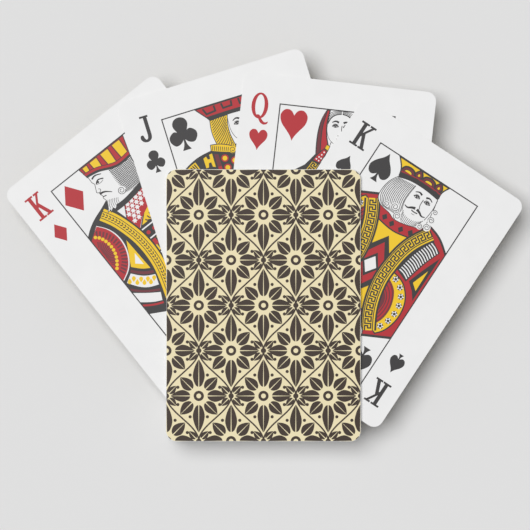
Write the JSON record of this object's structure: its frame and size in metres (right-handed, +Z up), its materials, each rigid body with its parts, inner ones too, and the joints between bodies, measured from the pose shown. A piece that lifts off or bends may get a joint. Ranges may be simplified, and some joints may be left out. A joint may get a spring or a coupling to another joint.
{
  "type": "playing card deck",
  "caption": "Pack of poker-size playing cards lying face down, with four court cards fanned out face up from its middle; every card turns or slides in its own layer.",
  "frame": {"origin": "centre of the lowest card's lower face, on the table", "axes": "+Z up through the pack, +Y to the cards' upper ends, +X to the right as the fan is seen from above"},
  "size_m": [0.1688, 0.1285, 0.0162],
  "materials": {
    "card_stock": "white laminated stock with a satin varnish and printed inks"
  },
  "bodies": {
    "ace_of_spades": {"ace_of_spades": "card_stock"},
    "two_of_spades": {"two_of_spades": "card_stock"},
    "three_of_spades": {"three_of_spades": "card_stock"},
    "four_of_spades": {"four_of_spades": "card_stock"},
    "five_of_spades": {"five_of_spades": "card_stock"},
    "six_of_spades": {"six_of_spades": "card_stock"},
    "seven_of_spades": {"seven_of_spades": "card_stock"},
    "eight_of_spades": {"eight_of_spades": "card_stock"},
    "nine_of_spades": {"nine_of_spades": "card_stock"},
    "ten_of_spades": {"ten_of_spades": "card_stock"},
    "jack_of_spades": {"jack_of_spades": "card_stock"},
    "queen_of_spades": {"queen_of_spades": "card_stock"},
    "ace_of_diamonds": {"ace_of_diamonds": "card_stock"},
    "two_of_diamonds": {"two_of_diamonds": "card_stock"},
    "three_of_diamonds": {"three_of_diamonds": "card_stock"},
    "four_of_diamonds": {"four_of_diamonds": "card_stock"},
    "five_of_diamonds": {"five_of_diamonds": "card_stock"},
    "six_of_diamonds": {"six_of_diamonds": "card_stock"},
    "seven_of_diamonds": {"seven_of_diamonds": "card_stock"},
    "eight_of_diamonds": {"eight_of_diamonds": "card_stock"},
    "nine_of_diamonds": {"nine_of_diamonds": "card_stock"},
    "ten_of_diamonds": {"ten_of_diamonds": "card_stock"},
    "jack_of_diamonds": {"jack_of_diamonds": "card_stock"},
    "queen_of_diamonds": {"queen_of_diamonds": "card_stock"},
    "ace_of_clubs": {"ace_of_clubs": "card_stock"},
    "two_of_clubs": {"two_of_clubs": "card_stock"},
    "three_of_clubs": {"three_of_clubs": "card_stock"},
    "four_of_clubs": {"four_of_clubs": "card_stock"},
    "five_of_clubs": {"five_of_clubs": "card_stock"},
    "six_of_clubs": {"six_of_clubs": "card_stock"},
    "seven_of_clubs": {"seven_of_clubs": "card_stock"},
    "eight_of_clubs": {"eight_of_clubs": "card_stock"},
    "nine_of_clubs": {"nine_of_clubs": "card_stock"},
    "ten_of_clubs": {"ten_of_clubs": "card_stock"},
    "queen_of_clubs": {"queen_of_clubs": "card_stock"},
    "king_of_clubs": {"king_of_clubs": "card_stock"},
    "ace_of_hearts": {"ace_of_hearts": "card_stock"},
    "two_of_hearts": {"two_of_hearts": "card_stock"},
    "three_of_hearts": {"three_of_hearts": "card_stock"},
    "four_of_hearts": {"four_of_hearts": "card_stock"},
    "five_of_hearts": {"five_of_hearts": "card_stock"},
    "six_of_hearts": {"six_of_hearts": "card_stock"},
    "seven_of_hearts": {"seven_of_hearts": "card_stock"},
    "eight_of_hearts": {"eight_of_hearts": "card_stock"},
    "nine_of_hearts": {"nine_of_hearts": "card_stock"},
    "king_of_diamonds": {"king_of_diamonds": "card_stock"},
    "jack_of_clubs": {"jack_of_clubs": "card_stock"},
    "queen_of_hearts": {"queen_of_hearts": "card_stock"},
    "king_of_spades": {"king_of_spades": "card_stock"},
    "ten_of_hearts": {"ten_of_hearts": "card_stock"},
    "jack_of_hearts": {"jack_of_hearts": "card_stock"},
    "king_of_hearts": {"king_of_hearts": "card_stock"},
    "red_joker": {"red_joker": "card_stock"},
    "black_joker": {"black_joker": "card_stock"}
  },
  "joints": [
    {"name": "king_of_diamonds_swing", "type": "hinge", "parent": "ace_of_spades", "child": "king_of_diamonds", "pos_m": [0.002, 0.006, 0], "axis": [0, 0, 1], "range_deg": [-38.6, 20]},
    {"name": "jack_of_clubs_swing", "type": "hinge", "parent": "ace_of_spades", "child": "jack_of_clubs", "pos_m": [0.002, 0.006, 0], "axis": [0, 0, 1], "range_deg": [-17.2, 20]},
    {"name": "queen_of_hearts_swing", "type": "hinge", "parent": "ace_of_spades", "child": "queen_of_hearts", "pos_m": [0.002, 0.006, 0], "axis": [0, 0, 1], "range_deg": [-20, 6.4]},
    {"name": "king_of_spades_swing", "type": "hinge", "parent": "ace_of_spades", "child": "king_of_spades", "pos_m": [0.002, 0.006, 0], "axis": [0, 0, 1], "range_deg": [-20, 33.3]},
    {"name": "black_joker_deal", "type": "slide", "parent": "ace_of_spades", "child": "black_joker", "axis": [0, -1, 0], "range_m": [0, 0.04]},
    {"name": "red_joker_deal", "type": "slide", "parent": "ace_of_spades", "child": "red_joker", "axis": [0, -1, 0], "range_m": [0, 0.032]},
    {"name": "king_of_hearts_deal", "type": "slide", "parent": "ace_of_spades", "child": "king_of_hearts", "axis": [0, -1, 0], "range_m": [0, 0.024]},
    {"name": "jack_of_hearts_deal", "type": "slide", "parent": "ace_of_spades", "child": "jack_of_hearts", "axis": [0, -1, 0], "range_m": [0, 0.016]},
    {"name": "ten_of_hearts_deal", "type": "slide", "parent": "ace_of_spades", "child": "ten_of_hearts", "axis": [0, -1, 0], "range_m": [0, 0.008]},
    {"name": "nine_of_hearts_fan", "type": "hinge", "parent": "ace_of_spades", "child": "nine_of_hearts", "pos_m": [0, -0.03, 0], "axis": [0, 0, 1], "range_deg": [-132, 132]},
    {"name": "eight_of_hearts_fan", "type": "hinge", "parent": "ace_of_spades", "child": "eight_of_hearts", "pos_m": [0, -0.03, 0], "axis": [0, 0, 1], "range_deg": [-129, 129]},
    {"name": "seven_of_hearts_fan", "type": "hinge", "parent": "ace_of_spades", "child": "seven_of_hearts", "pos_m": [0, -0.03, 0], "axis": [0, 0, 1], "range_deg": [-126, 126]},
    {"name": "six_of_hearts_fan", "type": "hinge", "parent": "ace_of_spades", "child": "six_of_hearts", "pos_m": [0, -0.03, 0], "axis": [0, 0, 1], "range_deg": [-123, 123]},
    {"name": "five_of_hearts_fan", "type": "hinge", "parent": "ace_of_spades", "child": "five_of_hearts", "pos_m": [0, -0.03, 0], "axis": [0, 0, 1], "range_deg": [-120, 120]},
    {"name": "four_of_hearts_fan", "type": "hinge", "parent": "ace_of_spades", "child": "four_of_hearts", "pos_m": [0, -0.03, 0], "axis": [0, 0, 1], "range_deg": [-117, 117]},
    {"name": "three_of_hearts_fan", "type": "hinge", "parent": "ace_of_spades", "child": "three_of_hearts", "pos_m": [0, -0.03, 0], "axis": [0, 0, 1], "range_deg": [-114, 114]},
    {"name": "two_of_hearts_fan", "type": "hinge", "parent": "ace_of_spades", "child": "two_of_hearts", "pos_m": [0, -0.03, 0], "axis": [0, 0, 1], "range_deg": [-111, 111]},
    {"name": "ace_of_hearts_fan", "type": "hinge", "parent": "ace_of_spades", "child": "ace_of_hearts", "pos_m": [0, -0.03, 0], "axis": [0, 0, 1], "range_deg": [-108, 108]},
    {"name": "king_of_clubs_fan", "type": "hinge", "parent": "ace_of_spades", "child": "king_of_clubs", "pos_m": [0, -0.03, 0], "axis": [0, 0, 1], "range_deg": [-105, 105]},
    {"name": "queen_of_clubs_fan", "type": "hinge", "parent": "ace_of_spades", "child": "queen_of_clubs", "pos_m": [0, -0.03, 0], "axis": [0, 0, 1], "range_deg": [-102, 102]},
    {"name": "ten_of_clubs_fan", "type": "hinge", "parent": "ace_of_spades", "child": "ten_of_clubs", "pos_m": [0, -0.03, 0], "axis": [0, 0, 1], "range_deg": [-99, 99]},
    {"name": "nine_of_clubs_fan", "type": "hinge", "parent": "ace_of_spades", "child": "nine_of_clubs", "pos_m": [0, -0.03, 0], "axis": [0, 0, 1], "range_deg": [-96, 96]},
    {"name": "eight_of_clubs_fan", "type": "hinge", "parent": "ace_of_spades", "child": "eight_of_clubs", "pos_m": [0, -0.03, 0], "axis": [0, 0, 1], "range_deg": [-93, 93]},
    {"name": "seven_of_clubs_fan", "type": "hinge", "parent": "ace_of_spades", "child": "seven_of_clubs", "pos_m": [0, -0.03, 0], "axis": [0, 0, 1], "range_deg": [-90, 90]},
    {"name": "six_of_clubs_fan", "type": "hinge", "parent": "ace_of_spades", "child": "six_of_clubs", "pos_m": [0, -0.03, 0], "axis": [0, 0, 1], "range_deg": [-87, 87]},
    {"name": "five_of_clubs_fan", "type": "hinge", "parent": "ace_of_spades", "child": "five_of_clubs", "pos_m": [0, -0.03, 0], "axis": [0, 0, 1], "range_deg": [-84, 84]},
    {"name": "four_of_clubs_fan", "type": "hinge", "parent": "ace_of_spades", "child": "four_of_clubs", "pos_m": [0, -0.03, 0], "axis": [0, 0, 1], "range_deg": [-81, 81]},
    {"name": "three_of_clubs_fan", "type": "hinge", "parent": "ace_of_spades", "child": "three_of_clubs", "pos_m": [0, -0.03, 0], "axis": [0, 0, 1], "range_deg": [-78, 78]},
    {"name": "two_of_clubs_fan", "type": "hinge", "parent": "ace_of_spades", "child": "two_of_clubs", "pos_m": [0, -0.03, 0], "axis": [0, 0, 1], "range_deg": [-75, 75]},
    {"name": "ace_of_clubs_fan", "type": "hinge", "parent": "ace_of_spades", "child": "ace_of_clubs", "pos_m": [0, -0.03, 0], "axis": [0, 0, 1], "range_deg": [-72, 72]},
    {"name": "queen_of_diamonds_fan", "type": "hinge", "parent": "ace_of_spades", "child": "queen_of_diamonds", "pos_m": [0, -0.03, 0], "axis": [0, 0, 1], "range_deg": [-69, 69]},
    {"name": "jack_of_diamonds_fan", "type": "hinge", "parent": "ace_of_spades", "child": "jack_of_diamonds", "pos_m": [0, -0.03, 0], "axis": [0, 0, 1], "range_deg": [-66, 66]},
    {"name": "ten_of_diamonds_fan", "type": "hinge", "parent": "ace_of_spades", "child": "ten_of_diamonds", "pos_m": [0, -0.03, 0], "axis": [0, 0, 1], "range_deg": [-63, 63]},
    {"name": "nine_of_diamonds_fan", "type": "hinge", "parent": "ace_of_spades", "child": "nine_of_diamonds", "pos_m": [0, -0.03, 0], "axis": [0, 0, 1], "range_deg": [-60, 60]},
    {"name": "eight_of_diamonds_fan", "type": "hinge", "parent": "ace_of_spades", "child": "eight_of_diamonds", "pos_m": [0, -0.03, 0], "axis": [0, 0, 1], "range_deg": [-57, 57]},
    {"name": "seven_of_diamonds_fan", "type": "hinge", "parent": "ace_of_spades", "child": "seven_of_diamonds", "pos_m": [0, -0.03, 0], "axis": [0, 0, 1], "range_deg": [-54, 54]},
    {"name": "six_of_diamonds_fan", "type": "hinge", "parent": "ace_of_spades", "child": "six_of_diamonds", "pos_m": [0, -0.03, 0], "axis": [0, 0, 1], "range_deg": [-51, 51]},
    {"name": "five_of_diamonds_fan", "type": "hinge", "parent": "ace_of_spades", "child": "five_of_diamonds", "pos_m": [0, -0.03, 0], "axis": [0, 0, 1], "range_deg": [-48, 48]},
    {"name": "four_of_diamonds_fan", "type": "hinge", "parent": "ace_of_spades", "child": "four_of_diamonds", "pos_m": [0, -0.03, 0], "axis": [0, 0, 1], "range_deg": [-45, 45]},
    {"name": "three_of_diamonds_fan", "type": "hinge", "parent": "ace_of_spades", "child": "three_of_diamonds", "pos_m": [0, -0.03, 0], "axis": [0, 0, 1], "range_deg": [-42, 42]},
    {"name": "two_of_diamonds_fan", "type": "hinge", "parent": "ace_of_spades", "child": "two_of_diamonds", "pos_m": [0, -0.03, 0], "axis": [0, 0, 1], "range_deg": [-39, 39]},
    {"name": "ace_of_diamonds_fan", "type": "hinge", "parent": "ace_of_spades", "child": "ace_of_diamonds", "pos_m": [0, -0.03, 0], "axis": [0, 0, 1], "range_deg": [-36, 36]},
    {"name": "queen_of_spades_fan", "type": "hinge", "parent": "ace_of_spades", "child": "queen_of_spades", "pos_m": [0, -0.03, 0], "axis": [0, 0, 1], "range_deg": [-33, 33]},
    {"name": "jack_of_spades_fan", "type": "hinge", "parent": "ace_of_spades", "child": "jack_of_spades", "pos_m": [0, -0.03, 0], "axis": [0, 0, 1], "range_deg": [-30, 30]},
    {"name": "ten_of_spades_fan", "type": "hinge", "parent": "ace_of_spades", "child": "ten_of_spades", "pos_m": [0, -0.03, 0], "axis": [0, 0, 1], "range_deg": [-27, 27]},
    {"name": "nine_of_spades_fan", "type": "hinge", "parent": "ace_of_spades", "child": "nine_of_spades", "pos_m": [0, -0.03, 0], "axis": [0, 0, 1], "range_deg": [-24, 24]},
    {"name": "eight_of_spades_fan", "type": "hinge", "parent": "ace_of_spades", "child": "eight_of_spades", "pos_m": [0, -0.03, 0], "axis": [0, 0, 1], "range_deg": [-21, 21]},
    {"name": "seven_of_spades_fan", "type": "hinge", "parent": "ace_of_spades", "child": "seven_of_spades", "pos_m": [0, -0.03, 0], "axis": [0, 0, 1], "range_deg": [-18, 18]},
    {"name": "six_of_spades_fan", "type": "hinge", "parent": "ace_of_spades", "child": "six_of_spades", "pos_m": [0, -0.03, 0], "axis": [0, 0, 1], "range_deg": [-15, 15]},
    {"name": "five_of_spades_fan", "type": "hinge", "parent": "ace_of_spades", "child": "five_of_spades", "pos_m": [0, -0.03, 0], "axis": [0, 0, 1], "range_deg": [-12, 12]},
    {"name": "four_of_spades_fan", "type": "hinge", "parent": "ace_of_spades", "child": "four_of_spades", "pos_m": [0, -0.03, 0], "axis": [0, 0, 1], "range_deg": [-9, 9]},
    {"name": "three_of_spades_fan", "type": "hinge", "parent": "ace_of_spades", "child": "three_of_spades", "pos_m": [0, -0.03, 0], "axis": [0, 0, 1], "range_deg": [-6, 6]},
    {"name": "two_of_spades_fan", "type": "hinge", "parent": "ace_of_spades", "child": "two_of_spades", "pos_m": [0, -0.03, 0], "axis": [0, 0, 1], "range_deg": [-3, 3]}
  ]
}
